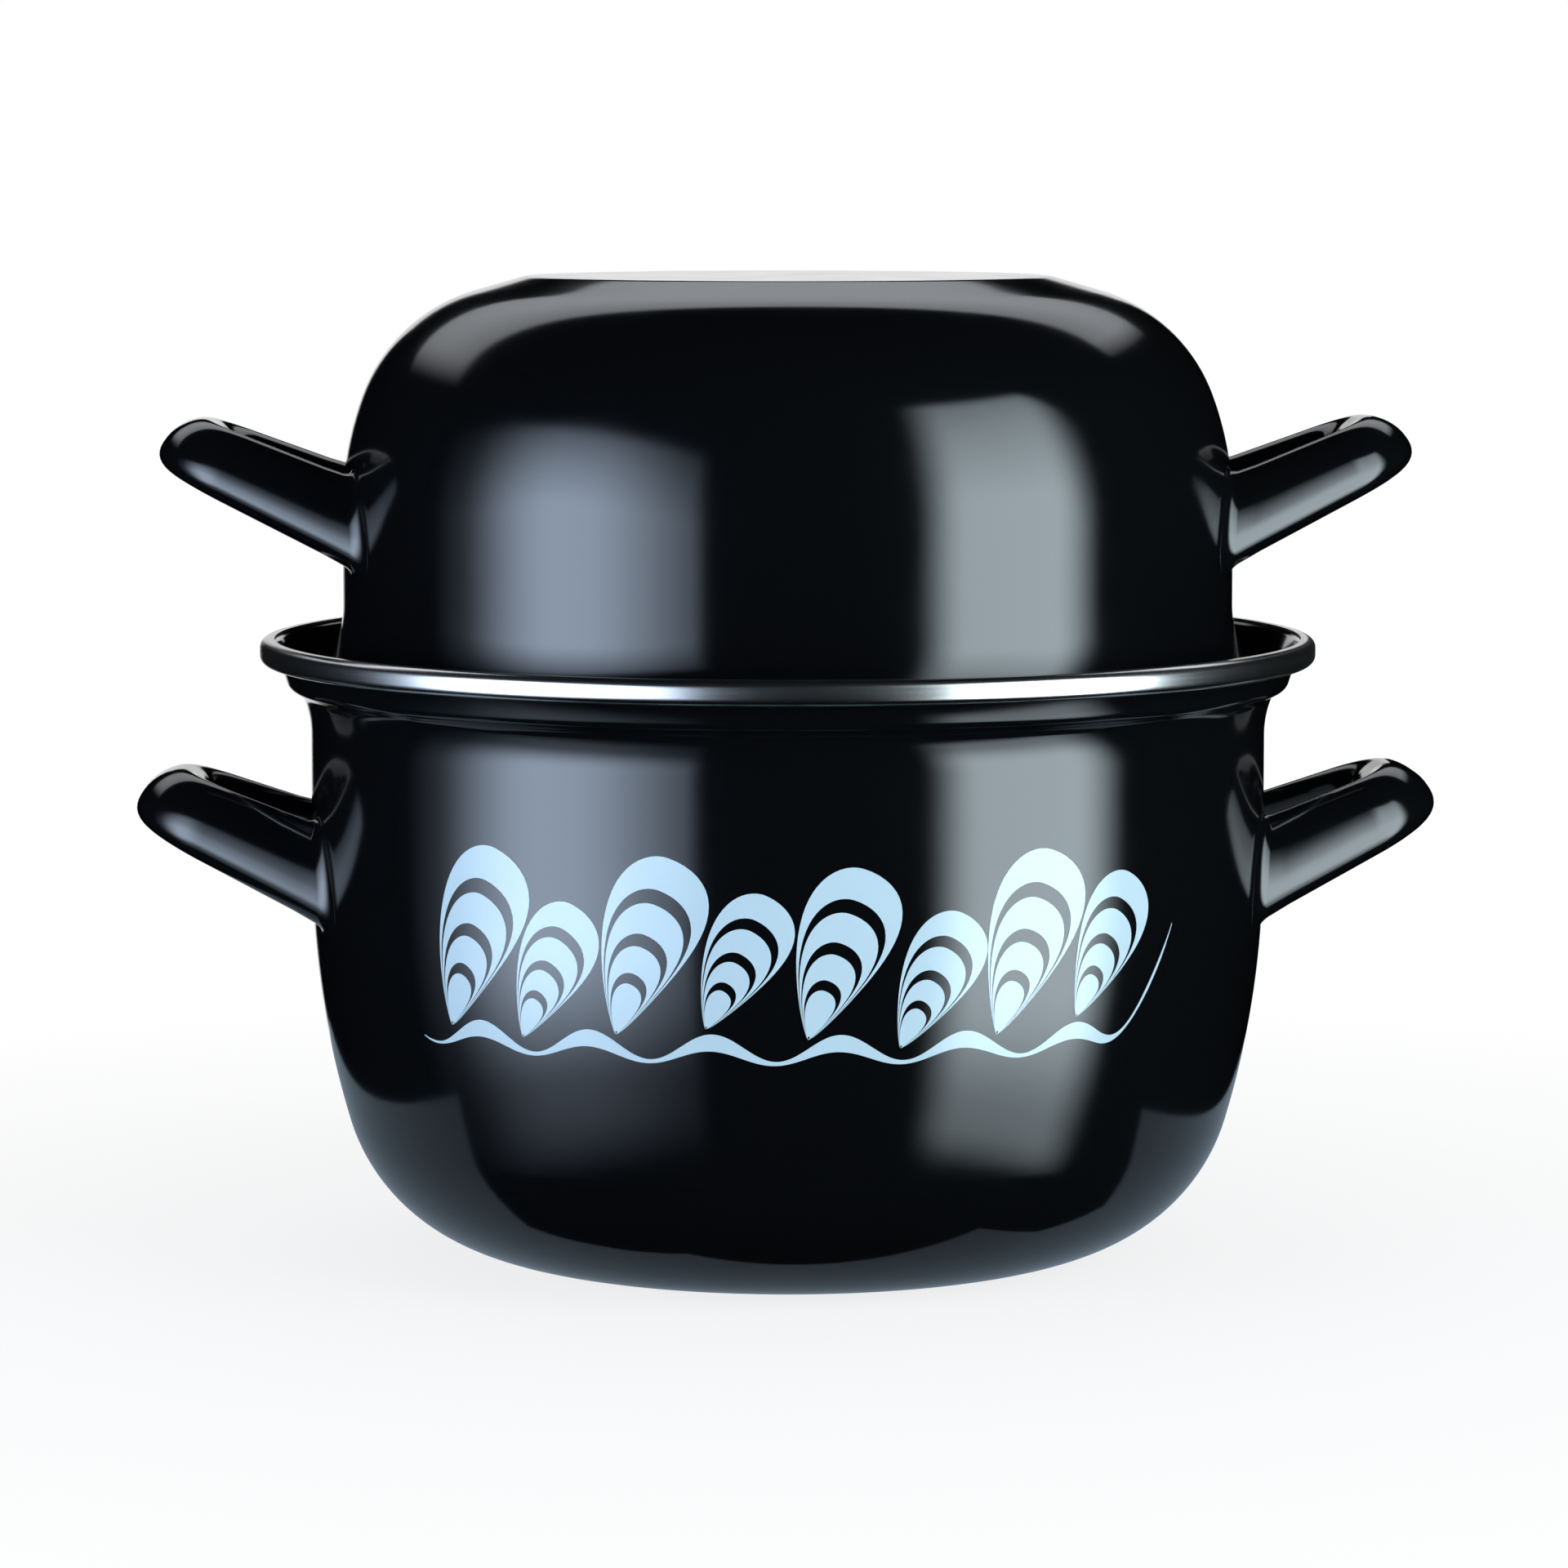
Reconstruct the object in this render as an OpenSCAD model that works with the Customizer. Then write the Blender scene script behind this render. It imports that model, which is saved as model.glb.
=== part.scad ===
// Mussel pot: a round enamelled steel pot with a crimped steel rim, and a deep
// domed lid that turns over to become the bowl for the empty shells.
// The pot stands on the XY plane with its axis on Z. The handles lie along X.

/* [Pot] */
// Outside diameter of the pot's straight wall
pot_d = 226.4; // [200:0.2:280]
// Height from the base to the top of the steel rim
pot_h = 146.5; // [125:0.5:190]
// Thickness of the enamelled sheet
sheet_t = 1.4; // [1:0.1:2]
// Outside radius of the corner between base and belly
corner_r = 44.5; // [30:0.5:50]
// Outside radius of the belly between corner and wall
belly_r = 212; // [160:1:300]
// Angle that the belly turns through below the straight wall, in degrees
belly_turn = 16.3; // [10:0.1:25]

/* [Mouth] */
// Height of the mouth's wall, from the middle of the ledge's bend to the lip
mouth_h = 4.1; // [3:0.1:8]
// Angle at which the mouth's wall leans out, in degrees
mouth_lean = 16; // [0:1:20]
// Radius of the flare where the wall turns out into the ledge
flare_r = 6; // [4:0.5:8]
// Radius of the bend where the ledge turns up into the mouth
ledge_r = 3; // [2:0.1:5]
// How far the mouth stands out from the wall, at the lip
ledge_w = 7.5; // [5:0.1:8.5]
// Height of the rolled lip at the top of the mouth
lip_h = 4.5; // [3:0.1:6]
// How far the rolled lip stands out from the mouth
lip_w = 3.7; // [3:0.1:6]
// Rounding of the lip's edges
lip_r = 1.4; // [0.8:0.1:1.4]

/* [Rim band] */
// Thickness of the stainless strip
band_t = 0.6; // [0.4:0.05:1]
// Gap between the strip and the lip that it is crimped over
band_gap = 0.1; // [0.05:0.05:0.2]
// Width of the strip's top leg
band_top_w = 3.4; // [2.5:0.1:4]
// Width of the strip's turned-in lower leg
band_foot_w = 3.2; // [2.2:0.1:4]

/* [Lid] */
// How far the lid's straight wall stands inside the pot's
lid_inset = 7.8; // [6:0.1:12]
// Height of the lid from the bottom of its rolled edge to its flat top
lid_h = 98.4; // [85:0.2:130]
// Slope of the ring round the flat top, in degrees
top_slope = 16; // [8:1:22]
// Width of that sloping ring, between the flat top and the shoulder
top_ring_w = 12.5; // [6:0.5:18]
// Outside radius of the shoulder
shoulder_r = 40; // [28:0.5:50]
// Outside radius of the side between the shoulder and the straight wall
side_r = 78; // [60:1:110]
// Angle that this side turns through, in degrees
side_turn = 20.5; // [14:0.5:26]
// Radius of the skirt where the lid flares out to its edge
skirt_r = 27; // [16:0.5:34]
// Diameter of the rolled edge
curl_d = 4; // [3:0.1:5]
// Play all round between the rolled edge and the ledge's bend
lid_play = 3.6; // [2:0.1:5]
// Gap between the rolled edge and the ledge that it rests on
lid_gap = 0.1; // [0.05:0.05:0.3]

/* [Handles] */
// Depth of the middle of the pot handles' roots below the top of the rim
pot_handle_drop = 52.8; // [45:0.1:70]
// How far the pot handles stand out from the wall
pot_handle_reach = 41.2; // [36:0.1:50]
// Height of the middle of the lid handles' roots above the bottom of its edge
lid_handle_rise = 42.8; // [38:0.1:52]
// How far the lid handles stand out from the wall
lid_handle_reach = 42.8; // [36:0.1:50]
// Angle at which the handles rise, in degrees
handle_tilt = 24; // [10:0.5:32]
// Distance between the middles of a handle's two legs, at the wall
leg_span = 48; // [46:0.5:64]
// Angle at which the legs draw together away from the wall, in degrees
leg_splay = 15; // [0:1:20]
// Thickness of a leg across the span
leg_t = 14; // [11:0.5:16]
// Height of a pot handle's leg at the wall, square to its rise
pot_leg_h = 21; // [18:0.2:28]
// Height of a lid handle's leg at the wall, square to its rise
lid_leg_h = 19.4; // [16:0.2:26]
// Thickness of the grip, in line with the rise
grip_t = 16.4; // [12:0.2:20]
// Height of a pot handle's grip, square to the rise
pot_grip_h = 16.6; // [14:0.2:24]
// Height of a lid handle's grip, square to the rise
lid_grip_h = 15.4; // [14:0.2:24]
// Straight run in the middle of the grip, between its two corners
grip_run = 8; // [1:0.5:10]
// How far the root spreads where it is welded to the wall
root_w = 2.2; // [1:0.1:4]
// Length of that spread along the leg
root_l = 3.5; // [2:0.5:6]
// Thickness of the handle's pressed shell
shell_t = 1.3; // [1:0.1:2]
// Share by which the bar's outer side draws in towards its top
bar_taper = 0.25; // [0:0.05:0.3]
// Gap left for the weld between a root and the wall
weld_gap = 0.05; // [0.02:0.01:0.2]

/* [Hidden] */
$fn = 96;
enamel = [0.05, 0.05, 0.06];
steel = [0.8, 0.82, 0.84];
// Points round a handle's bar, and how square the bar is: 1 is an ellipse, 0 a box
bar_sides = 20;
bar_square = 0.8;
// Steps round a handle's corner
bend_steps = 6;
// The rings along a root, as shares of its length from the wall
root_shares = [0, 0.15, 0.4, 1];
// Passes used to find where a root meets the curved wall
wall_passes = 5;

// Points on an arc about c, from angle a0 to angle a1, in n equal steps
function arc(c, r, a0, a1, n) =
    [for (i = [0:n]) let (a = a0 + (a1 - a0) * i / n) c + r * [cos(a), sin(a)]];
function backwards(list) = [for (i = [len(list) - 1:-1:0]) list[i]];

// The pot's side from base to mouth, as radius and height. An inset moves it
// into the sheet, and every arc keeps its centre.
wall_r = pot_d / 2;
mouth_r = wall_r + ledge_w;
base_r = wall_r - belly_r + (belly_r - corner_r) * cos(belly_turn);
belly_z = corner_r + (belly_r - corner_r) * sin(belly_turn);
lip_top = pot_h - band_t - band_gap;
bend_z = lip_top - lip_h - mouth_h;
bend_at_r = mouth_r - ledge_r * cos(mouth_lean)
    - (mouth_h + ledge_r * sin(mouth_lean)) * tan(mouth_lean);
ledge_turn = acos((wall_r + flare_r - bend_at_r) / (flare_r + ledge_r));
flare_z = bend_z - (flare_r + ledge_r) * sin(ledge_turn);
function pot_side(inset) = concat(
    arc([base_r, corner_r], corner_r - inset, -90, -belly_turn, 13),
    arc([wall_r - belly_r, belly_z], belly_r - inset, -belly_turn, 0, 5),
    arc([wall_r + flare_r, flare_z], flare_r + inset, 180, 180 - ledge_turn, 5),
    arc([bend_at_r, bend_z], ledge_r - inset, -ledge_turn, -mouth_lean, 4));

// The rolled lip: the sheet turns out over the mouth and under again. Its inner
// edge runs on from the leaning wall.
lip_out = mouth_r + lip_w;
lip_in = mouth_r - (sheet_t - lip_r) / cos(mouth_lean) + (lip_h - lip_r) * tan(mouth_lean);
function lip(gap, inner) = concat(
    [[mouth_r, lip_top - lip_h - gap]],
    arc([lip_out - lip_r, lip_top - lip_h + lip_r], lip_r + gap, -90, 0, 4),
    arc([lip_out - lip_r, lip_top - lip_r], lip_r + gap, 0, 90, 4),
    inner);

module pot_body() {
    color(enamel)
    rotate_extrude()
        polygon(concat(
            [[0, 0]],
            pot_side(0),
            lip(0, arc([lip_in, lip_top - lip_r], lip_r, 90, 180 - mouth_lean, 4)),
            backwards(pot_side(sheet_t)),
            [[0, sheet_t]]));
}

// The stainless strip: a channel crimped over the lip from outside.
band_out = lip_out + band_gap + band_t;
module pot_rim_band() {
    outside = lip(band_gap + band_t, []);
    inside = lip(band_gap, []);
    // The part of a lip's outline past its first point
    function round_lip(side) = [for (i = [1:len(side) - 1]) side[i]];
    color(steel)
    rotate_extrude()
        polygon(concat(
            [[band_out - band_foot_w, lip_top - lip_h - band_gap - band_t]],
            round_lip(outside),
            [[band_out - band_top_w, pot_h], [band_out - band_top_w, lip_top + band_gap]],
            backwards(round_lip(inside)),
            [[band_out - band_foot_w, lip_top - lip_h - band_gap]]));
}

// The lid's rolled edge rests on the curve of the ledge, inside the mouth.
lid_r = wall_r - lid_inset;
curl_r = curl_d / 2;
curl_at_r = bend_at_r + ledge_r - sheet_t - lid_play - curl_r;
skirt_turn = acos((lid_r + skirt_r - curl_at_r) / (skirt_r + sheet_t / 2));
rest_r = flare_r + sheet_t + curl_r + lid_gap;
curl_z = flare_z + sqrt(pow(rest_r, 2) - pow(wall_r + flare_r - curl_at_r, 2));
lid_foot = curl_z - curl_r;
lid_top = lid_foot + lid_h;
skirt_z = curl_z + (skirt_r + sheet_t / 2) * sin(skirt_turn);
ring_z = lid_top - top_ring_w * sin(top_slope);
shoulder_c = [lid_r - side_r + (side_r - shoulder_r) * cos(side_turn),
              ring_z - shoulder_r * cos(top_slope)];
side_c = [lid_r - side_r, shoulder_c[1] - (side_r - shoulder_r) * sin(side_turn)];
flat_r = shoulder_c[0] + shoulder_r * sin(top_slope) - top_ring_w * cos(top_slope);

// The lid's side from the flat top down to the end of the skirt
function lid_side(inset) = concat(
    [[flat_r - inset * tan(top_slope / 2), lid_top - inset]],
    arc(shoulder_c, shoulder_r - inset, 90 - top_slope, side_turn, 10),
    arc(side_c, side_r - inset, side_turn, 0, 4),
    arc([lid_r + skirt_r, skirt_z], skirt_r + inset, 180, 180 + skirt_turn, 7));

module lid_bowl() {
    // Half the angle at which the sheet runs into the curl
    neck = asin(sheet_t / curl_d);
    color(enamel)
    rotate_extrude()
        polygon(concat(
            [[0, lid_top]],
            lid_side(0),
            arc([curl_at_r, curl_z], curl_r, 90 + skirt_turn - neck, skirt_turn + neck - 270, 10),
            backwards(lid_side(sheet_t)),
            [[0, lid_top - sheet_t]]));
}

// Radius of a side at a height, by its own points
function radius_at(side, z) = lookup(z, [for (p = side) [p[1], p[0]]]);

// The bar's cross-section: a rounded bar, square to its path. Its outer side
// draws in towards the top, and the edge there is the roundest of the four.
// Each point is [outwards, upwards].
function bent(v, power) = sign(v) * pow(abs(v), power);
function bar(t, h) = [for (i = [0:bar_sides - 1])
    let (a = 360 * i / bar_sides, top_outer = cos(a) > 0 && sin(a) > 0,
         power = top_outer ? 1 : bar_square, s = bent(sin(a), power), c = bent(cos(a), power))
    [t / 2 * c * (c > 0 ? 1 - bar_taper * s : 1), h / 2 * s]];

// The line along a leg, at a distance out from its middle: how far across it
// is at a place along the rise
function leg_v(u, out) = leg_span / 2 + out / cos(leg_splay) - u * tan(leg_splay);

// The stations along a handle past its root: [along the rise, across, facing,
// thickness, height]. Facing is the splay on a leg and 90 on the grip.
function stations(reach, leg_h, grip_h) =
    let (tip = max([for (p = bar(grip_t, grip_h)) p[0] * cos(handle_tilt) - p[1] * sin(handle_tilt)]),
         far = (reach - tip) / cos(handle_tilt),
         bend_r = (leg_v(far, 0) - grip_run / 2) * cos(leg_splay) / (1 - sin(leg_splay)))
    [for (i = [0:bend_steps])
        let (a = leg_splay + (90 - leg_splay) * i / bend_steps,
             u = far - bend_r * (1 - sin(a)))
        [u, grip_run / 2 + bend_r * cos(a), a,
         leg_t + (grip_t - leg_t) * i / bend_steps, leg_h + (grip_h - leg_h) * u / far]];

// Moves a point of the handle's own frame into the part: u along the rise,
// v across, w square to both. The frame's origin is on the wall at height z0.
function placed(r0, z0, u, v, w) =
    [r0 + u * cos(handle_tilt) - w * sin(handle_tilt), v,
     z0 + u * sin(handle_tilt) + w * cos(handle_tilt)];

// Where a line along a leg meets the wall, found in a few steps
function wall_u(side, r0, z0, out, w, u, n) = n == 0 ? u :
    let (v = leg_v(u, out), r = radius_at(side, placed(r0, z0, u, v, w)[2]) + weld_gap)
    wall_u(side, r0, z0, out, w,
        (sqrt(r * r - v * v) - r0 + w * sin(handle_tilt)) / cos(handle_tilt), n - 1);

// One ring of points of the leg near its root, at a share of the root's length
function root_ring(side, r0, z0, leg_h, share, inset) =
    let (spread = root_w * (1 - sqrt(1 - pow(1 - share, 2))) - inset)
    [for (p = bar(leg_t + 2 * spread, leg_h + 2 * spread))
        let (w = p[1], u = wall_u(side, r0, z0, p[0], w, 0, wall_passes) + share * root_l)
        placed(r0, z0, u, leg_v(u, p[0]), w)];

function bar_ring(r0, z0, s, inset) = [for (p = bar(s[3] - 2 * inset, s[4] - 2 * inset))
    placed(r0, z0, s[0] + p[0] * sin(s[2]), s[1] + p[0] * cos(s[2]), p[1])];

function flipped(ring) = [for (p = ring) [p[0], -p[1], p[2]]];

// The rings of one skin of the handle, from root to root
function skin(side, r0, z0, reach, leg_h, grip_h, inset) =
    let (half = concat(
        [for (share = root_shares) root_ring(side, r0, z0, leg_h, share, inset)],
        [for (s = stations(reach, leg_h, grip_h)) bar_ring(r0, z0, s, inset)]))
    concat(half, backwards([for (ring = half) flipped(ring)]));

// A pressed loop handle on a side: a closed shell, open only against the wall
module loop_handle(side, r0, z0, reach, leg_h, grip_h) {
    outer = skin(side, r0, z0, reach, leg_h, grip_h, 0);
    inner = skin(side, r0, z0, reach, leg_h, grip_h, shell_t);
    rings = len(outer);
    m = bar_sides;
    function at(skin_no, ring, i) = (skin_no * rings + ring) * m + i % m;
    walls = [for (k = [0:rings - 2], i = [0:m - 1])
        each [[at(0, k, i), at(0, k, i + 1), at(0, k + 1, i + 1)],
              [at(0, k, i), at(0, k + 1, i + 1), at(0, k + 1, i)],
              [at(1, k, i), at(1, k + 1, i + 1), at(1, k, i + 1)],
              [at(1, k, i), at(1, k + 1, i), at(1, k + 1, i + 1)]]];
    ends = [for (i = [0:m - 1])
        each [[at(0, 0, i), at(1, 0, i + 1), at(0, 0, i + 1)],
              [at(0, 0, i), at(1, 0, i), at(1, 0, i + 1)],
              [at(0, rings - 1, i), at(0, rings - 1, i + 1), at(1, rings - 1, i + 1)],
              [at(0, rings - 1, i), at(1, rings - 1, i + 1), at(1, rings - 1, i)]]];
    polyhedron([for (ring = concat(outer, inner)) each ring], concat(walls, ends));
}

module pot_handle() {
    color(enamel)
    loop_handle(pot_side(0), wall_r, pot_h - pot_handle_drop, pot_handle_reach,
        pot_leg_h, pot_grip_h);
}

module lid_handle() {
    color(enamel)
    loop_handle(backwards(lid_side(0)), lid_r, lid_foot + lid_handle_rise, lid_handle_reach,
        lid_leg_h, lid_grip_h);
}

pot_body();
pot_rim_band();
mirror([1, 0, 0]) pot_handle();  // pot_handle_left
pot_handle();  // pot_handle_right
lid_bowl();
mirror([1, 0, 0]) lid_handle();  // lid_handle_left
lid_handle();  // lid_handle_right
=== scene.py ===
import math

import bmesh
import bpy
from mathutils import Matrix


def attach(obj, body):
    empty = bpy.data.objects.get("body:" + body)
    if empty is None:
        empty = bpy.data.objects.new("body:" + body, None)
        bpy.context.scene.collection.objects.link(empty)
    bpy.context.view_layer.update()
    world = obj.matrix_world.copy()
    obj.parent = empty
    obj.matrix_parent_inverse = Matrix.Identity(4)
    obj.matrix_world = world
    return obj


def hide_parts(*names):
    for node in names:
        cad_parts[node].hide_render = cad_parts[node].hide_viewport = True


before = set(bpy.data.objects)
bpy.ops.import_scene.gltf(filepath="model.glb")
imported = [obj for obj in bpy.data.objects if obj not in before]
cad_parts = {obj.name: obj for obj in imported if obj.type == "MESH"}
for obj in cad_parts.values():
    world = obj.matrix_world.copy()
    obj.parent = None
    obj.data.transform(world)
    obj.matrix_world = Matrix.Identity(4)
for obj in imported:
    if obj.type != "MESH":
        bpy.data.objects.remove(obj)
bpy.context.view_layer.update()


# The pot
# Deep-drawn from one disc of steel sheet: flat base, round corner, full belly, straight wall, a ledge
# that carries the lid, and a short mouth whose lip is rolled outwards. Vitreous enamel, jet black
# inside and out, is fired on as the last step.

# Sizes of the pieces are in mm, those of finishes, studio and camera in metres, and angles in degrees
MM = 0.001
pot_height, wall_radius, sheet = 146.5, 113.2, 1.4
corner_radius, belly_radius, belly_turn = 44.5, 212, 16.3
# The wall runs out to the ledge in a soft bend and then a tight one
soft_radius, soft_turn = 24, 20
flare_radius, ledge_radius, ledge_width = 4, 3, 7.5
# The mouth leans out, less at its foot and more at its top by its flare
mouth_height, mouth_lean, mouth_flare = 4.1, 20, 4
lip_height, lip_width, lip_rounding = 4.5, 3.7, 1.4
# The lip leaves room for the strip that is crimped over it
strip_thickness, strip_gap = 0.6, 0.1
# An edge of a piece that turns more than this stays sharp
sharp_turn = 38


def sin(angle):
    return math.sin(math.radians(angle))


def cos(angle):
    return math.cos(math.radians(angle))


def tan(angle):
    return math.tan(math.radians(angle))


mouth_radius = wall_radius + ledge_width
base_radius = wall_radius - belly_radius + (belly_radius - corner_radius) * cos(belly_turn)
belly_height = corner_radius + (belly_radius - corner_radius) * sin(belly_turn)
lip_top = pot_height - strip_thickness - strip_gap
ledge_height = lip_top - lip_height - mouth_height
lean_low, lean_high = mouth_lean - mouth_flare, mouth_lean + mouth_flare
mouth_rise = mouth_height + ledge_radius * sin(lean_low)
mouth_bend = mouth_rise / cos(mouth_lean) / (2 * sin(mouth_flare))
ledge_end = mouth_radius - ledge_radius * cos(lean_low) - mouth_rise * tan(mouth_lean)
mouth_centre = (ledge_end + (ledge_radius + mouth_bend) * cos(lean_low),
                ledge_height - (ledge_radius + mouth_bend) * sin(lean_low))
flare_centre = wall_radius + soft_radius - (soft_radius - flare_radius) * cos(soft_turn)
ledge_turn = math.degrees(math.acos((flare_centre - ledge_end) / (flare_radius + ledge_radius)))
flare_height = ledge_height - (flare_radius + ledge_radius) * sin(ledge_turn)
soft_height = flare_height - (soft_radius - flare_radius) * sin(soft_turn)


def bend(centre, radius, start, end, step=3.0):
    """Points round a bend of the sheet, from one angle to another."""
    count = max(2, math.ceil(abs(end - start) / step))
    angles = [start + (end - start) * i / count for i in range(count + 1)]
    return [(centre[0] + radius * cos(a), centre[1] + radius * sin(a)) for a in angles]


def pot_side(inset):
    """The pot's side from base to mouth, moved into the sheet by an inset."""
    return (bend((base_radius, corner_radius), corner_radius - inset, -90, -belly_turn)
            + bend((wall_radius - belly_radius, belly_height), belly_radius - inset, -belly_turn, 0, 1)
            + bend((wall_radius + soft_radius, soft_height), soft_radius + inset, 180, 180 - soft_turn, 2)
            + bend((flare_centre, flare_height), flare_radius + inset, 180 - soft_turn, 180 - ledge_turn)
            + bend((ledge_end, ledge_height), ledge_radius - inset, -ledge_turn, -lean_low, 6)
            + bend(mouth_centre, mouth_bend + inset, 180 - lean_low, 180 - lean_high, 0.5))


def rolled_lip(gap):
    """The outside of the rolled lip, from under it to its top, moved outwards by a gap."""
    middle = mouth_radius + lip_width - lip_rounding
    return (bend((middle, lip_top - lip_height + lip_rounding), lip_rounding + gap, -90, 0, 9)
            + bend((middle, lip_top - lip_rounding), lip_rounding + gap, 0, 90, 9))


def skinned(name, verts, faces, weld=0):
    """A mesh from points and faces, all turned outwards. Points nearer than the weld, in metres, join."""
    mesh = bpy.data.meshes.new(name)
    mesh.from_pydata(verts, [], faces)
    work = bmesh.new()
    work.from_mesh(mesh)
    if weld:
        bmesh.ops.remove_doubles(work, verts=work.verts, dist=weld)
    bmesh.ops.recalc_face_normals(work, faces=work.faces)
    work.to_mesh(mesh)
    work.free()
    return mesh


def spun(name, outline, around=224, longest=4.0, least=1e-4):
    """Spins an outline of (radius, height) round the pot's axis. It is closed, or open where it starts
    and ends on the axis. Long straights are cut, so that the sheen on them stays even."""
    closed = outline[0][0] > 0
    ends = outline[1:] + outline[:1] if closed else outline[1:]
    points = []
    for (r0, z0), (r1, z1) in zip(outline, ends):
        cuts = max(1, math.ceil(math.hypot(r1 - r0, z1 - z0) / longest))
        points += [(r0 + (r1 - r0) * i / cuts, z0 + (z1 - z0) * i / cuts) for i in range(cuts)]
    if not closed:
        points.append(outline[-1])
    points = [p for i, p in enumerate(points) if i == 0 or math.dist(p, points[i - 1]) > least]
    turn = [(cos(360 * k / around), sin(360 * k / around)) for k in range(around)]
    verts, rings = [], []
    for r, z in points:
        if r < least:
            rings.append([len(verts)] * around)
            verts.append((0, 0, z * MM))
        else:
            rings.append(list(range(len(verts), len(verts) + around)))
            verts += [(r * c * MM, r * s * MM, z * MM) for c, s in turn]
    faces = []
    for lower, upper in zip(rings, rings[1:] + (rings[:1] if closed else [])):
        for k in range(around):
            n = (k + 1) % around
            corners = [lower[k], lower[n], upper[n], upper[k]]
            faces.append([c for i, c in enumerate(corners) if c != corners[i - 1]])
    return skinned(name, verts, faces)


def finished(name, mesh, finish, node=None):
    """Makes a piece from its mesh: smooth but for real edges, with its finish, riding on the pot."""
    mesh.validate()
    for face in mesh.polygons:
        face.use_smooth = True
    mesh.set_sharp_from_angle(angle=math.radians(sharp_turn))
    mesh.materials.append(finish)
    piece = bpy.data.objects.new(name, mesh)
    bpy.context.collection.objects.link(piece)
    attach(piece, "root")
    if node:
        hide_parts(node)
    return piece


def glassy_enamel(name, colour, roughness):
    """Fired enamel: glass over steel. It has the faint orange peel and slow waviness of a dipped coat,
    and its gloss varies a little from place to place."""
    finish = bpy.data.materials.new(name)
    finish.use_nodes = True
    nodes, links = finish.node_tree.nodes, finish.node_tree.links
    glass = nodes["Principled BSDF"]
    glass.inputs["Base Color"].default_value = (*colour, 1)
    glass.inputs["IOR"].default_value = 1.54
    place = nodes.new("ShaderNodeTexCoord")

    def mottle(scale, detail):
        noise = nodes.new("ShaderNodeTexNoise")
        noise.inputs["Scale"].default_value = scale
        noise.inputs["Detail"].default_value = detail
        links.new(place.outputs["Object"], noise.inputs["Vector"])
        return noise.outputs["Fac"]

    def unevenness(height, strength, distance):
        bump = nodes.new("ShaderNodeBump")
        bump.inputs["Strength"].default_value = strength
        bump.inputs["Distance"].default_value = distance
        links.new(height, bump.inputs["Height"])
        return bump

    gloss = nodes.new("ShaderNodeMapRange")
    gloss.inputs["From Min"].default_value = 0.3
    gloss.inputs["From Max"].default_value = 0.7
    gloss.inputs["To Min"].default_value = roughness * 0.85
    gloss.inputs["To Max"].default_value = roughness * 1.15
    links.new(mottle(scale=60, detail=3), gloss.inputs["Value"])
    links.new(gloss.outputs["Result"], glass.inputs["Roughness"])
    waviness = unevenness(mottle(scale=38, detail=1), strength=0.35, distance=0.00012)
    peel = unevenness(mottle(scale=520, detail=2), strength=0.1, distance=0.00002)
    links.new(waviness.outputs["Normal"], peel.inputs["Normal"])
    links.new(peel.outputs["Normal"], glass.inputs["Normal"])
    return finish


black_enamel = glassy_enamel("black_enamel", (0.0023, 0.0026, 0.0031), 0.10)

lip_inside = (mouth_radius - (sheet - lip_rounding) / cos(lean_high)
              + (lip_height - lip_rounding) * tan(lean_high))
pot_outline = ([(0, 0)] + pot_side(0) + rolled_lip(0)
               + bend((lip_inside, lip_top - lip_rounding), lip_rounding, 90, 180 - lean_high, 9)
               + pot_side(sheet)[::-1] + [(0, sheet)])
pot = finished("pot", spun("pot", pot_outline), black_enamel, "pot_body")


# The rim strip
# A stainless channel, rolled from 0.6 mm strip and crimped over the enamelled lip, because enamel
# would chip there. It is polished bright, with the fine lines of the wheel running round it.

strip_top_leg, strip_foot_leg = 3.4, 3.2
strip_out = mouth_radius + lip_width + strip_gap + strip_thickness
strip_foot = lip_top - lip_height - strip_gap


def polished_steel():
    finish = bpy.data.materials.new("polished_steel")
    finish.use_nodes = True
    nodes, links = finish.node_tree.nodes, finish.node_tree.links
    steel = nodes["Principled BSDF"]
    steel.inputs["Base Color"].default_value = (0.65, 0.645, 0.635, 1)
    steel.inputs["Metallic"].default_value = 1
    # The lines follow height and radius only, so they run round the rim
    place = nodes.new("ShaderNodeTexCoord")
    apart = nodes.new("ShaderNodeSeparateXYZ")
    radius = nodes.new("ShaderNodeVectorMath")
    radius.operation = "LENGTH"
    flat = nodes.new("ShaderNodeCombineXYZ")
    across = nodes.new("ShaderNodeCombineXYZ")
    links.new(place.outputs["Object"], apart.inputs[0])
    links.new(apart.outputs["X"], flat.inputs["X"])
    links.new(apart.outputs["Y"], flat.inputs["Y"])
    links.new(flat.outputs[0], radius.inputs[0])
    links.new(radius.outputs["Value"], across.inputs["X"])
    links.new(apart.outputs["Z"], across.inputs["Y"])
    lines = nodes.new("ShaderNodeTexNoise")
    lines.inputs["Scale"].default_value = 3200
    lines.inputs["Detail"].default_value = 3
    links.new(across.outputs[0], lines.inputs["Vector"])
    sheen = nodes.new("ShaderNodeMapRange")
    sheen.inputs["To Min"].default_value = 0.18
    sheen.inputs["To Max"].default_value = 0.28
    links.new(lines.outputs["Fac"], sheen.inputs["Value"])
    links.new(sheen.outputs["Result"], steel.inputs["Roughness"])
    scratch = nodes.new("ShaderNodeBump")
    scratch.inputs["Strength"].default_value = 0.12
    scratch.inputs["Distance"].default_value = 0.00002
    links.new(lines.outputs["Fac"], scratch.inputs["Height"])
    links.new(scratch.outputs["Normal"], steel.inputs["Normal"])
    return finish


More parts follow.
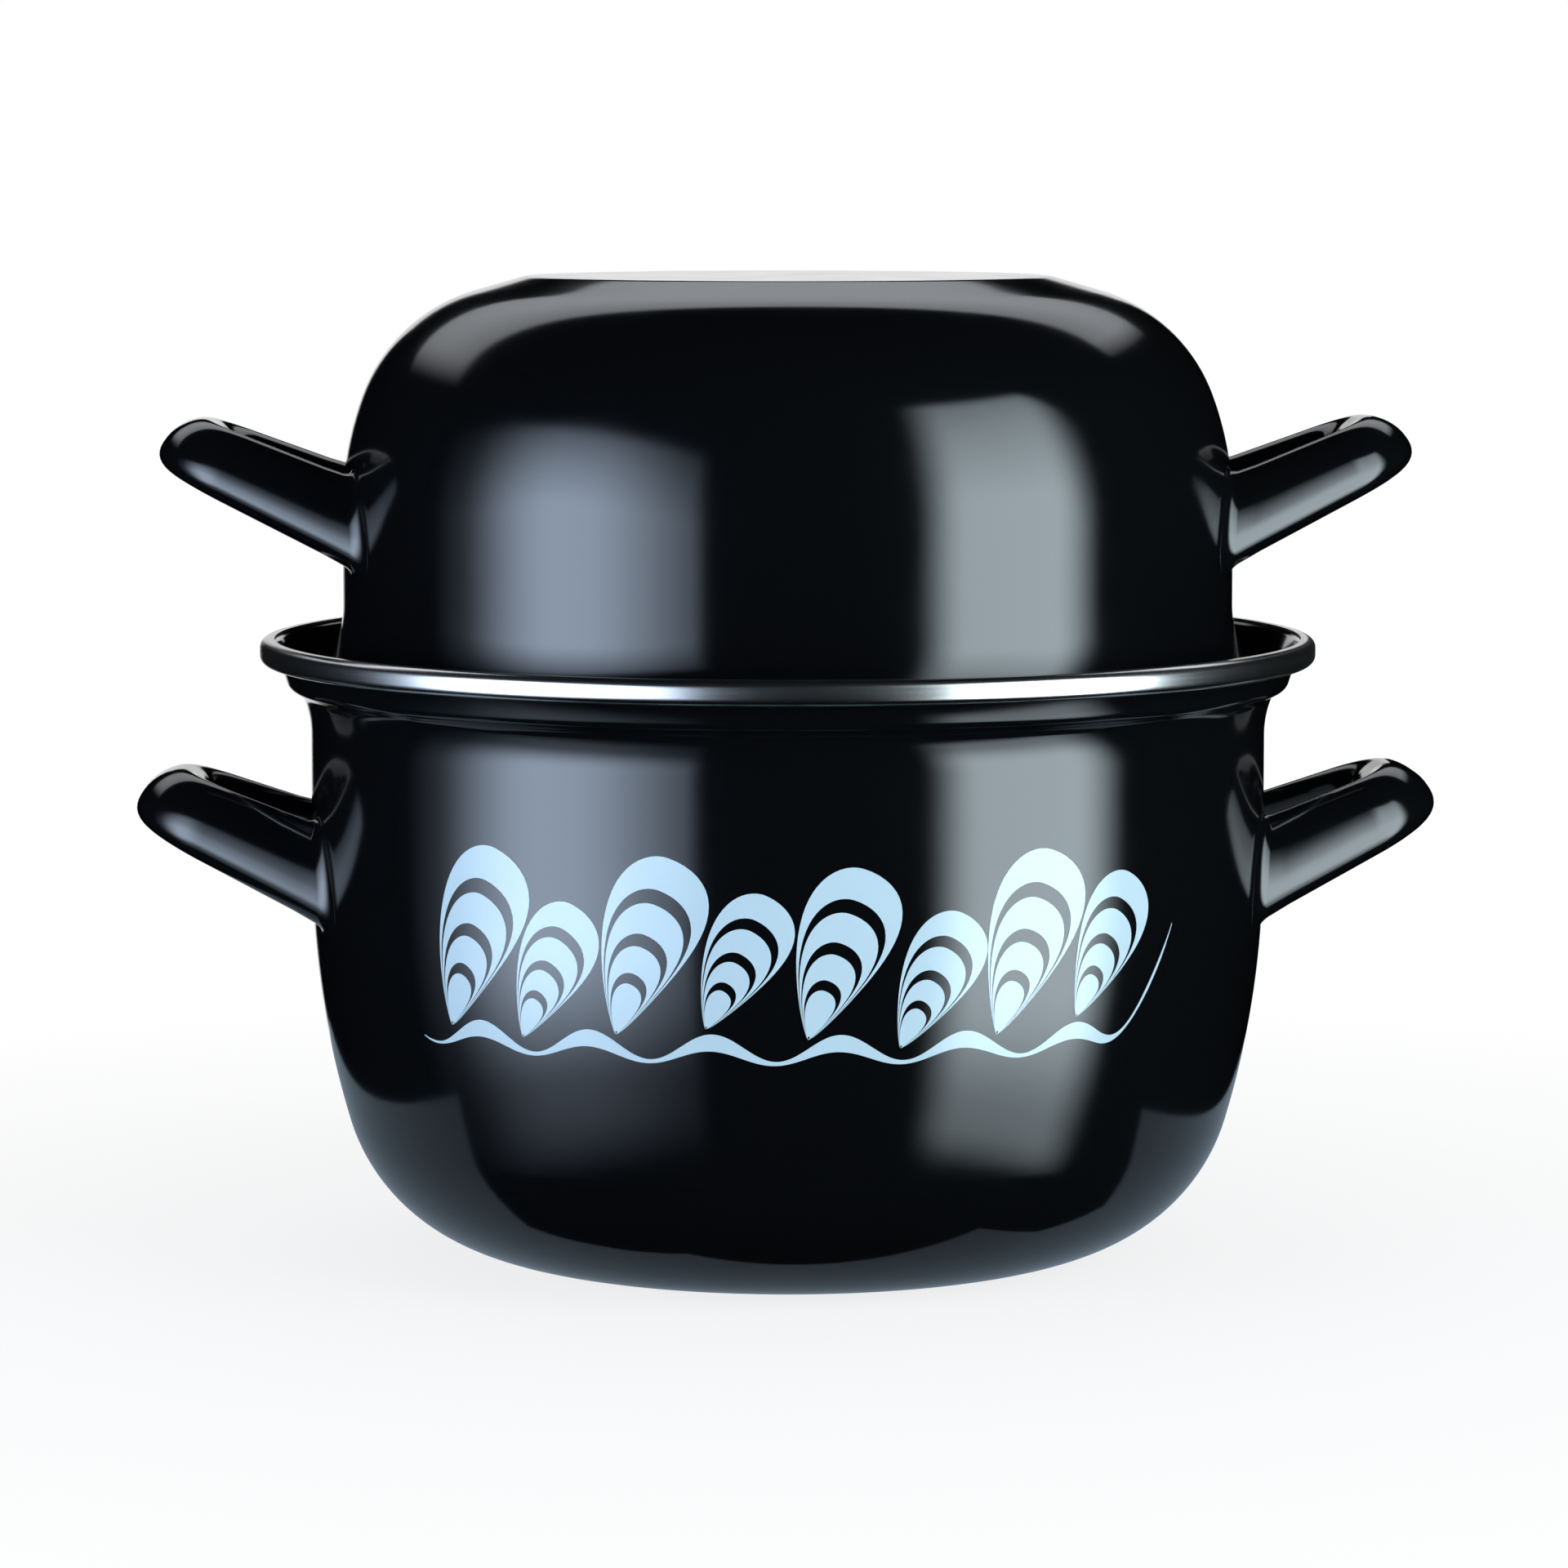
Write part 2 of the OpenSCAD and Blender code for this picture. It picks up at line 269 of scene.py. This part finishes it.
top_end, foot_end = strip_out - strip_top_leg, strip_out - strip_foot_leg
strip_outline = ([(foot_end, strip_foot - strip_thickness)]
                 + rolled_lip(strip_gap + strip_thickness)
                 + [(top_end, pot_height), (top_end, lip_top + strip_gap)]
                 + rolled_lip(strip_gap)[::-1]
                 + [(foot_end, strip_foot)])
rim_strip = finished("rim_strip", spun("rim_strip", strip_outline), polished_steel(), "pot_rim_band")


# The pot's handles
# Two loop handles, each pressed from sheet as a hollow bar and welded to the wall before enamelling,
# so the coat runs over the weld. The bar is boxy below and round on top, and its legs rise and
# draw together towards the grip.

handle_tilt, leg_splay = 24, 15
leg_span, leg_thickness, grip_thickness, grip_run = 48, 14, 16.4, 8
# The coated weld spreads the root, runs out along the leg, and starts just inside the sheet
root_spread, root_length, root_depth = 2.2, 3.5, 0.7
outer_draw, squareness = 0.25, 0.8
# Rings of points along half the bar
root_rings, leg_rings, corner_rings, grip_rings = 8, 6, 18, 3
pot_handle = dict(height=93.7, reach=41.2, leg=21, grip=16.6)


def bar_section(thickness, height, points=44):
    """The bar's cross-section as (outwards, upwards) points: boxy below, round on top, and its outer
    side leaning in towards the top."""
    section = []
    for i in range(points):
        c, s = cos(360 * i / points), sin(360 * i / points)
        power = 1 if s > 0 else squareness
        c, s = (math.copysign(abs(v) ** power, v) for v in (c, s))
        section.append((thickness / 2 * c * (1 - outer_draw * s if c > 0 else 1), height / 2 * s))
    return section


def side_radius(side, z):
    """Radius of a side of the pot or the lid at a height."""
    side = sorted(side, key=lambda p: p[1])
    for (r0, z0), (r1, z1) in zip(side, side[1:]):
        if z0 <= z <= z1 and z1 > z0:
            return r0 + (r1 - r0) * (z - z0) / (z1 - z0)
    return side[0][0] if z < side[0][1] else side[-1][0]


def loop_handle(name, side, wall, shape, facing, node):
    """A loop handle on a side of the pot or the lid, as rings of points from one root to the other.
    In the handle's own slope, u runs out from the wall, v across and w upwards."""
    run, lift = cos(handle_tilt), sin(handle_tilt)

    def placed(u, v, w):
        """A point of the sloping handle, in the pot's own frame."""
        return (wall + u * run - w * lift, v, shape["height"] + u * lift + w * run)

    def leg_line(u, out):
        """How far across the leg is at u, for a point that is so far out from its middle."""
        return leg_span / 2 + out / cos(leg_splay) - u * tan(leg_splay)

    def on_wall(out, w, tries=6):
        """How far along the leg a point of its section meets the round wall."""
        u = 0
        for _ in range(tries):
            v = leg_line(u, out)
            r = side_radius(side, placed(u, v, w)[2])
            u = (math.sqrt(r * r - v * v) - wall + w * lift) / run
        return u

    def bar_height(along):
        """The bar's height, from its full leg to its lower grip."""
        return shape["leg"] + (shape["grip"] - shape["leg"]) * along / far

    tip = max(out * run - up * lift for out, up in bar_section(grip_thickness, shape["grip"]))
    far = (shape["reach"] - tip) / run
    corner = (leg_line(far, 0) - grip_run / 2) * cos(leg_splay) / (1 - sin(leg_splay))
    leg_end = far - corner * (1 - sin(leg_splay))
    rings = []
    # The root follows the wall, and spreads towards it in a round fillet
    for step in range(-1, root_rings + 1):
        share = max(step, 0) / root_rings
        spread = root_spread * (1 - math.sqrt(1 - (1 - share) ** 2))
        along = share * root_length if step >= 0 else -root_depth
        ring = []
        for out, up in bar_section(leg_thickness + 2 * spread, shape["leg"] + 2 * spread):
            u = on_wall(out, up) + along
            ring.append(placed(u, leg_line(u, out), up))
        rings.append(ring)
    # The wall's curve still shows in the rings of the leg, and fades out along it
    for step in range(1, leg_rings):
        straight = step / leg_rings
        along = root_length + (leg_end - root_length) * straight
        ring = []
        for out, up in bar_section(leg_thickness, bar_height(along)):
            u = along + on_wall(out, up) * (1 - straight) + out * sin(leg_splay) * straight
            ring.append(placed(u, leg_line(u, out), up))
        rings.append(ring)
    # The corner turns into the grip, which the other half of the bar mirrors
    turns = [leg_splay + (90 - leg_splay) * i / corner_rings for i in range(corner_rings + 1)]
    stations = [(turn, grip_run / 2) for turn in turns]
    stations += [(90, grip_run / 2 * (1 - i / grip_rings)) for i in range(1, grip_rings + 1)]
    for turn, inwards in stations:
        share = (turn - leg_splay) / (90 - leg_splay)
        thickness = leg_thickness + (grip_thickness - leg_thickness) * share
        along = far - corner * (1 - sin(turn))
        rings.append([placed(along + out * sin(turn), inwards + (corner + out) * cos(turn), up)
                      for out, up in bar_section(thickness, bar_height(along))])
    rings += [[(x, -y, z) for x, y, z in ring] for ring in rings[-2::-1]]
    count = len(rings[0])
    verts = [(facing * x * MM, y * MM, z * MM) for ring in rings for x, y, z in ring]
    faces = []
    for start in range(0, len(verts) - count, count):
        for i in range(count):
            n = (i + 1) % count
            faces.append((start + i, start + n, start + count + n, start + count + i))
    faces += [tuple(range(count)), tuple(range(len(verts) - count, len(verts)))]
    handle = finished(name, skinned(name, verts, faces), black_enamel, node)


for facing, word in ((-1, "left"), (1, "right")):
    loop_handle(f"pot_loop_{word}", pot_side(0), wall_radius, pot_handle, facing, f"pot_handle_{word}")


# The front print
# A screen-printed enamel transfer, fired into the black coat: a row of mussel shells that lean like
# waves on a flowing line. Its pale blue turns whiter where the light catches its glass.

# The fired ink stands this proud of the black coat, and reaches this far into it
print_lift, print_sink = 0.07, 0.05
# Growth bands of a shell, as shares of its length from the beak
shell_bands = ((1.0, 0.82), (0.74, 0.57), (0.50, 0.35), (0.29, 0.02))
shell_half_width, shell_lopside, shell_bow = 0.27, 0.22, 0.16
# The half width runs as along ** beak_power * sqrt(1 - along ** end_power), which peaks at width_peak
beak_power, end_power, width_peak = 0.8, 3, 0.609
# Each shell: where its beak stands on the line, its length, and its lean
shell_row = ((-90, 44, 20), (-69, 34, 25), (-45, 42, 18), (-24, 33, 25),
             (-1, 40, 18), (20, 33, 25), (43, 43, 18), (64, 35, 25))
shell_stand = 3.2
# The flowing line: its waves, then a last flick at the right, all drawn with a broad nib
line_start, line_end, line_middle, line_stops = -100, 94, 62.6, 220
wave_height, wave_length, wave_start = 2.3, 29, -88
flick_start, flick_height, flick_power = 70, 24, 2.2
nib_thin, nib_swell, swell_start = 0.45, 0.75, -80
taper_start, taper_end, taper_power, taper_least = 10, 16, 0.7, 0.05
pale_blue = glassy_enamel("pale_blue_print", (0.455, 0.575, 0.632), 0.13)


def on_front(along, height, lift):
    """A point of the print: its distance round the front, its height, and its lift off the enamel."""
    angle = math.degrees(along / wall_radius)
    r = side_radius(pot_side(0), height) + lift
    return (r * sin(angle) * MM, -r * cos(angle) * MM, height * MM)


def printed_strip(verts, faces, edge_a, edge_b, across):
    """Inks the band between two edges of equal count, as a thin closed layer."""
    start = len(verts)
    rows = across + 1
    for lift in (print_lift, -print_sink):
        for (ua, za), (ub, zb) in zip(edge_a, edge_b):
            verts += [on_front(ua + (ub - ua) * k / across, za + (zb - za) * k / across, lift)
                      for k in range(rows)]
    n = len(edge_a)
    below = n * rows

    def v(i, k, under):
        return start + under * below + i * rows + k

    for i in range(n - 1):
        for k in range(across):
            faces.append((v(i, k, 0), v(i + 1, k, 0), v(i + 1, k + 1, 0), v(i, k + 1, 0)))
            faces.append((v(i, k, 1), v(i, k + 1, 1), v(i + 1, k + 1, 1), v(i + 1, k, 1)))
        faces.append((v(i, 0, 0), v(i, 0, 1), v(i + 1, 0, 1), v(i + 1, 0, 0)))
        faces.append((v(i, across, 0), v(i + 1, across, 0), v(i + 1, across, 1), v(i, across, 1)))
    for i in (0, n - 1):
        for k in range(across):
            faces.append((v(i, k, 0), v(i, k + 1, 0), v(i, k + 1, 1), v(i, k, 1)))


def shell_edge(share, length, points=60):
    """The outline of a mussel shell: a pointed beak at (0, 0), a straighter hinge side on the left, a
    fuller side on the right, and a round end."""
    edge = []
    for i in range(points + 1):
        turn = 360 * i / points
        along = (1 - cos(turn)) / 2
        fullness = along ** beak_power * math.sqrt(max(0, 1 - along ** end_power))
        half = shell_half_width / width_peak * fullness
        hand = 1 if turn < 180 else -1
        across = half * (hand + shell_lopside) - shell_bow * along * (1 - along)
        edge.append((across * length * share, along * length * share))
    return edge


def stood(edge, foot, lean):
    """A shell's outline with its beak on a foot, leaning to the right."""
    return [(foot[0] + x * cos(lean) + y * sin(lean), foot[1] - x * sin(lean) + y * cos(lean))
            for x, y in edge]


def line_height(u):
    """Height of the flowing line's middle: waves that rise into a last flick at the right."""
    flick = max(0, (u - flick_start) / (line_end - flick_start))
    wave = wave_height * sin(360 * (u - wave_start) / wave_length)
    return line_middle + wave * (1 - flick) + flick_height * flick ** flick_power


def line_weight(u):
    """Half the line's thickness: a broad nib, fine at both ends."""
    swell = 1 + cos(360 * (u - swell_start) / wave_length)
    ends = min(1, (u - line_start) / taper_start, (line_end - u) / taper_end)
    return (nib_thin + nib_swell * swell) * max(taper_least, ends) ** taper_power


verts, faces = [], []
for beak, length, lean in shell_row:
    foot = (beak, line_height(beak) + shell_stand)
    for outer, inner in shell_bands:
        edges = [stood(shell_edge(share, length), foot, lean) for share in (outer, inner)]
        printed_strip(verts, faces, *edges, across=3)
stops = [line_start + (line_end - line_start) * i / line_stops for i in range(line_stops + 1)]
printed_strip(verts, faces, [(u, line_height(u) + line_weight(u)) for u in stops],
              [(u, line_height(u) - line_weight(u)) for u in stops], across=2)
front_print = finished("front_print", skinned("front_print", verts, faces, weld=1e-7), pale_blue)


# The lid
# Drawn from the same sheet as a deep dome with a flat top, so that it stands on its own as the bowl
# for the empty shells. Its skirt flares into a rolled edge, which rests on the pot's ledge.

lid_height, lid_inset, lid_play, lid_gap = 98.4, 7.8, 3.1, 0.1
top_rounding, top_slope, ring_width = 9, 16, 12.5
shoulder_radius, side_bend, side_turn = 40, 78, 20.5
skirt_radius, curl = 27, 2

lid_radius = wall_radius - lid_inset
# The curl stands inside the ledge by the play, and rests on the flare of the wall, but for the gap
curl_at = ledge_end + ledge_radius - sheet - lid_play - curl
curl_seat = flare_radius + sheet + curl + lid_gap
curl_height = flare_height + math.sqrt(curl_seat ** 2 - (flare_centre - curl_at) ** 2)
lid_foot = curl_height - curl
lid_top = lid_foot + lid_height
skirt_middle = skirt_radius + sheet / 2
skirt_turn = math.degrees(math.acos((lid_radius + skirt_radius - curl_at) / skirt_middle))
skirt_height = curl_height + skirt_middle * sin(skirt_turn)
shoulder = (lid_radius - side_bend + (side_bend - shoulder_radius) * cos(side_turn),
            lid_top - ring_width * sin(top_slope) - shoulder_radius * cos(top_slope))
side_centre = (lid_radius - side_bend, shoulder[1] - (side_bend - shoulder_radius) * sin(side_turn))
flat_radius = shoulder[0] + shoulder_radius * sin(top_slope) - ring_width * cos(top_slope)


def lid_side(inset):
    """The lid's side from its flat top to the end of its skirt, moved into the sheet by an inset."""
    top_edge = (flat_radius - top_rounding * tan(top_slope / 2), lid_top - top_rounding)
    return (bend(top_edge, top_rounding - inset, 90, 90 - top_slope, 2)
            + bend(shoulder, shoulder_radius - inset, 90 - top_slope, side_turn)
            + bend(side_centre, side_bend - inset, side_turn, 0, 2)
            + bend((lid_radius + skirt_radius, skirt_height), skirt_radius + inset, 180, 180 + skirt_turn))


# Half the angle that the sheet's thickness takes up on the curl
neck = math.degrees(math.asin(sheet / (2 * curl)))
lid_outline = ([(0, lid_top)] + lid_side(0)
               + bend((curl_at, curl_height), curl, 90 + skirt_turn - neck, skirt_turn + neck - 270, 12)
               + lid_side(sheet)[::-1] + [(0, lid_top - sheet)])
lid = finished("lid", spun("lid", lid_outline), black_enamel, "lid_bowl")


# The lid's handles
# The same pressed loops, a little lower in section, welded to the lid's side. The lid is lifted by
# them, and with the lid turned over they carry the bowl.

handle_rise = 42.8
lid_handle = dict(height=lid_foot + handle_rise, reach=42.8, leg=19.4, grip=15.4)
for facing, word in ((-1, "left"), (1, "right")):
    loop_handle(f"lid_loop_{word}", lid_side(0), lid_radius, lid_handle, facing, f"lid_handle_{word}")


# The studio
# A white floor and a white surround. The pot stands at the front edge of a white block, with two tall
# soft boxes before it on either side, one soft box overhead behind it, and dark cloth all round.

def plain(name, build):
    """A studio finish, whose nodes a function builds."""
    finish = bpy.data.materials.new(name)
    finish.use_nodes = True
    finish.node_tree.nodes.clear()
    build(finish.node_tree)
    return finish


def studio_mesh(name, verts, faces, finish):
    """A thing that stands round the pot and is no part of it."""
    mesh = bpy.data.meshes.new(name)
    mesh.from_pydata(verts, [], faces)
    mesh.materials.append(finish)
    thing = bpy.data.objects.new(name, mesh)
    bpy.context.collection.objects.link(thing)
    return thing


def seen_white(tree, rest_of_it):
    """White to the eye and in gloss, and something else to soft light."""
    nodes, links = tree.nodes, tree.links
    path = nodes.new("ShaderNodeLightPath")
    seen = nodes.new("ShaderNodeMath")
    seen.operation = "MAXIMUM"
    both = nodes.new("ShaderNodeMath")
    both.operation = "MAXIMUM"
    links.new(path.outputs["Is Camera Ray"], seen.inputs[0])
    links.new(path.outputs["Is Glossy Ray"], seen.inputs[1])
    links.new(seen.outputs[0], both.inputs[0])
    links.new(path.outputs["Is Transmission Ray"], both.inputs[1])
    mix = nodes.new("ShaderNodeMixShader")
    links.new(both.outputs[0], mix.inputs[0])
    links.new(rest_of_it, mix.inputs[1])
    return mix


def glow_cloth(tree):
    """The front cloth of a soft box. Its glow is painted on it, strong in the middle."""
    nodes, links = tree.nodes, tree.links
    painted = nodes.new("ShaderNodeVertexColor")
    painted.layer_name = "glow"
    light = nodes.new("ShaderNodeEmission")
    out = nodes.new("ShaderNodeOutputMaterial")
    links.new(painted.outputs["Color"], light.inputs["Color"])
    links.new(light.outputs[0], out.inputs["Surface"])


glow = plain("glow_cloth", glow_cloth)


def between(ends, share):
    """The value at a share of the way from one end to the other."""
    return ends[0] + (ends[1] - ends[0]) * share


def slope_share(value, low, high):
    """How far a value is from low to high, from 0 to 1."""
    return min(1, max(0, (value - low) / (high - low)))


def eased(value, low, high):
    """The same, with a soft start and end."""
    share = slope_share(value, low, high)
    return share * share * (3 - 2 * share)


def two_steps(value, share, first, second):
    """A rise from 0 to 1 in two soft steps, of which the first gives a share."""
    return share * eased(value, *first) + (1 - share) * eased(value, *second)


def soft_box(name, place, strength, tint, columns=48, rows=48):
    """A lit cloth. place(s, t) gives its points and strength(s, t) its glow, for s and t from 0 to 1."""
    spots = [(i / columns, j / rows) for j in range(rows + 1) for i in range(columns + 1)]
    across = columns + 1
    faces = [(n, n + 1, n + across + 1, n + across)
             for j in range(rows) for n in range(j * across, j * across + columns)]
    cloth = studio_mesh(name, [place(s, t) for s, t in spots], faces, glow)
    painted = cloth.data.color_attributes.new("glow", "FLOAT_COLOR", "POINT")
    for dab, (s, t) in zip(painted.data, spots):
        level = strength(s, t)
        dab.color = (*(level * c for c in tint), 1)
    cloth.visible_camera = False
    cloth.visible_shadow = False


# The two boxes at the front: azimuths from the front, heights from the floor
box_distance, box_heights = 1.0, (-0.82, 1.04)
left_azimuths, right_azimuths = (-104, -18), (27, 88)
left_level, right_level = 6.9, 7.5
left_tint, right_tint = (0.78, 0.95, 1.20), (0.86, 1.02, 1.10)
# Round the pot, the left box rises in two steps, dims towards the front and ends
left_first_share, left_first, left_second = 0.06, (-101, -86), (-90.5, -60)
left_dimmed, left_dimming, left_end = 0.80, (-55, -20), (-26, -21.5)
# Its top is highest at its middle, and the right box's top drops at its far side
left_top, left_bow, left_middle = 0.49, 0.19, -55
right_rise, right_end = (27.5, 41), (64.6, 80.6)
right_top, right_drop, right_dropping = 0.98, 0.34, (68, 80)


def round_place(azimuths):
    """A front box's cloth, curved round the pot between two azimuths."""
    def place(s, t):
        azimuth = between(azimuths, s)
        return (box_distance * sin(azimuth), -box_distance * cos(azimuth), between(box_heights, t))
    return place


def run_up(z, top, first_share, first, second, dimmed, dimming, edge):
    """A front box's glow from its foot to its top: it rises in two steps, dims over a stretch below the
    top, and ends at a soft edge. The stretch and the edge are measured from the top."""
    rising = two_steps(z, first_share, first, second)
    falling = 1 - dimmed * slope_share(z, top + dimming[0], top + dimming[1])
    return rising * falling * (1 - eased(z, top + edge[0], top + edge[1]))


def left_glow(s, t):
    azimuth = between(left_azimuths, s)
    across = two_steps(azimuth, left_first_share, left_first, left_second)
    across *= (1 - left_dimmed * eased(azimuth, *left_dimming)) * (1 - eased(azimuth, *left_end))
    top = left_top + left_bow * cos(2 * (azimuth - left_middle))
    up = run_up(between(box_heights, t), top, first_share=0.14, first=(-0.70, -0.42),
                second=(-0.42, -0.05), dimmed=0.64, dimming=(-0.41, -0.08), edge=(-0.08, 0.04))
    return left_level * across * up


def right_glow(s, t):
    azimuth = between(right_azimuths, s)
    across = eased(azimuth, *right_rise) * (1 - eased(azimuth, *right_end))
    top = right_top - right_drop * eased(azimuth, *right_dropping)
    up = run_up(between(box_heights, t), top, first_share=0.36, first=(-0.68, -0.52),
                second=(-0.5, -0.15), dimmed=0.62, dimming=(-0.68, -0.08), edge=(-0.10, 0.02))
    return right_level * across * up


soft_box("soft_box_left", round_place(left_azimuths), left_glow, left_tint)
soft_box("soft_box_right", round_place(right_azimuths), right_glow, right_tint)

# The box overhead: its sides and its front and back, and where its glow rises and falls across
overhead_height, overhead_level, overhead_tint = 1.05, 1.35, (0.94, 0.98, 1.04)
overhead_sides, overhead_depth = (-1.55, 1.2), (0.61, 1.84)
overhead_rise, overhead_end = (-1.55, -0.9), (0.84, 1.1)
# From front to back, as shares of its depth
overhead_front, overhead_dimmed, overhead_dimming = (0, 0.05), 0.4, (0.2, 1)


def overhead_place(s, t):
    return (between(overhead_sides, s), between(overhead_depth, t), overhead_height)


def overhead_glow(s, t):
    x = between(overhead_sides, s)
    across = eased(x, *overhead_rise) * (1 - eased(x, *overhead_end))
    back = eased(t, *overhead_front) * (1 - overhead_dimmed * eased(t, *overhead_dimming))
    return overhead_level * across * back


soft_box("soft_box_overhead", overhead_place, overhead_glow, overhead_tint, 24, 24)


def cloth_black(tree):
    out = tree.nodes.new("ShaderNodeOutputMaterial")
    matt = tree.nodes.new("ShaderNodeBsdfDiffuse")
    matt.inputs["Color"].default_value = (0.002, 0.002, 0.0025, 1)
    tree.links.new(matt.outputs[0], out.inputs["Surface"])


# Straight behind, the cloth leaves a low window open to the white surround
room_radius, room_height, room_sides = 2.6, 2.6, 96
window_turn, window_top = 12, 0.62
around = [window_turn - 180 + (360 - 2 * window_turn) * i / room_sides for i in range(room_sides + 1)]
corners = [(room_radius * sin(a), -room_radius * cos(a)) for a in around]
verts = [(x, y, z) for z in (-room_height, room_height) for x, y in corners]
lower = tuple(range(len(corners)))
upper = tuple(range(len(corners), 2 * len(corners)))
faces = [(lower[i], lower[i + 1], upper[i + 1], upper[i]) for i in range(room_sides)] + [lower, upper]
# The cloth over the window hangs from the roof down to the window's top
verts += [(x, y, window_top) for x, y in (corners[0], corners[-1])]
faces.append((len(verts) - 2, len(verts) - 1, upper[-1], upper[0]))
dark_cloth = studio_mesh("dark_cloth", verts, faces, plain("cloth_black", cloth_black))
dark_cloth.visible_camera = False
dark_cloth.visible_diffuse = False
dark_cloth.visible_shadow = False


def block_painted_half_shade(tree):
    nodes, links = tree.nodes, tree.links
    light = nodes.new("ShaderNodeEmission")
    # Painted half shade: the white top, dimmed and tinted as in the pot's shade, glows here though it is
    # no lamp
    light.inputs["Color"].default_value = (0.225, 0.29, 0.355, 1)
    out = nodes.new("ShaderNodeOutputMaterial")
    links.new(light.outputs[0], out.inputs["Surface"])


# The top of the white block, which only the gloss of the belly shows. It glows, though it is no lamp, with
# a painted half shade: a dim blue-grey that stands for its white lying in the pot's shade.
block_level = -0.0008
block_edge = ((-0.186, 0.30), (-0.186, -0.060), (-0.075, -0.066), (-0.052, -0.078), (-0.030, -0.088),
              (0.050, -0.090), (0.064, -0.074), (0.090, -0.058), (0.174, -0.051), (0.176, 0.30))
block = studio_mesh("white_block", [(x, y, block_level) for x, y in block_edge],
                    [tuple(range(len(block_edge)))], plain("block_painted_half_shade", block_painted_half_shade))
block.visible_camera = False
block.visible_diffuse = False
block.visible_shadow = False


def floor_white(tree):
    nodes, links = tree.nodes, tree.links
    matt = nodes.new("ShaderNodeBsdfDiffuse")
    matt.inputs["Color"].default_value = (0.82, 0.82, 0.82, 1)
    mix = seen_white(tree, matt.outputs[0])
    white = nodes.new("ShaderNodeEmission")
    # Near the pot the floor also shows its shade, and further off it is plain white
    place = nodes.new("ShaderNodeTexCoord")
    away = nodes.new("ShaderNodeVectorMath")
    away.operation = "LENGTH"
    share = nodes.new("ShaderNodeMapRange")
    share.inputs["From Min"].default_value = 0.10
    share.inputs["From Max"].default_value = 0.42
    share.inputs["To Min"].default_value = 0.82
    share.inputs["To Max"].default_value = 1.0
    blend = nodes.new("ShaderNodeMixShader")
    out = nodes.new("ShaderNodeOutputMaterial")
    links.new(place.outputs["Object"], away.inputs[0])
    links.new(away.outputs["Value"], share.inputs["Value"])
    links.new(share.outputs["Result"], blend.inputs[0])
    links.new(matt.outputs[0], blend.inputs[1])
    links.new(white.outputs[0], blend.inputs[2])
    links.new(blend.outputs[0], mix.inputs[2])
    links.new(mix.outputs[0], out.inputs["Surface"])


floor_half = 6.0
floor_corners = [(-floor_half, -floor_half), (floor_half, -floor_half),
                 (floor_half, floor_half), (-floor_half, floor_half)]
floor = studio_mesh("floor", [(x, y, 0) for x, y in floor_corners], [(0, 1, 2, 3)],
                    plain("floor_white", floor_white))
floor.visible_glossy = False

world = bpy.data.worlds.new("white_surround")
bpy.context.scene.world = world
world.use_nodes = True
tree = world.node_tree
tree.nodes.clear()
dim = tree.nodes.new("ShaderNodeBackground")
dim.inputs["Strength"].default_value = 0.35
mix = seen_white(tree, dim.outputs[0])
white = tree.nodes.new("ShaderNodeBackground")
white.inputs["Color"].default_value = (1, 1, 1, 1)
out = tree.nodes.new("ShaderNodeOutputWorld")
tree.links.new(white.outputs[0], mix.inputs[2])
tree.links.new(mix.outputs[0], out.inputs["Surface"])


# The camera
# At the photograph's place: a long lens a little above the lid, looking slightly down.

camera_distance, camera_height, aim_height = 1.420, 0.2612, 0.1108
camera_azimuth, aim_turn = -2.8, 0.035
film_width, lens_length = 36, 137.45

camera_data = bpy.data.cameras.new("camera")
camera_data.sensor_width = film_width
camera_data.lens = lens_length
camera = bpy.data.objects.new("camera", camera_data)
bpy.context.collection.objects.link(camera)
camera.location = (camera_distance * sin(camera_azimuth), -camera_distance * cos(camera_azimuth),
                   camera_height)
looking_down = math.atan2(camera_height - aim_height, camera_distance)
camera.rotation_euler = (math.radians(90) - looking_down, 0, math.radians(camera_azimuth + aim_turn))
bpy.context.scene.camera = camera
bpy.context.scene.view_settings.view_transform = "Standard"
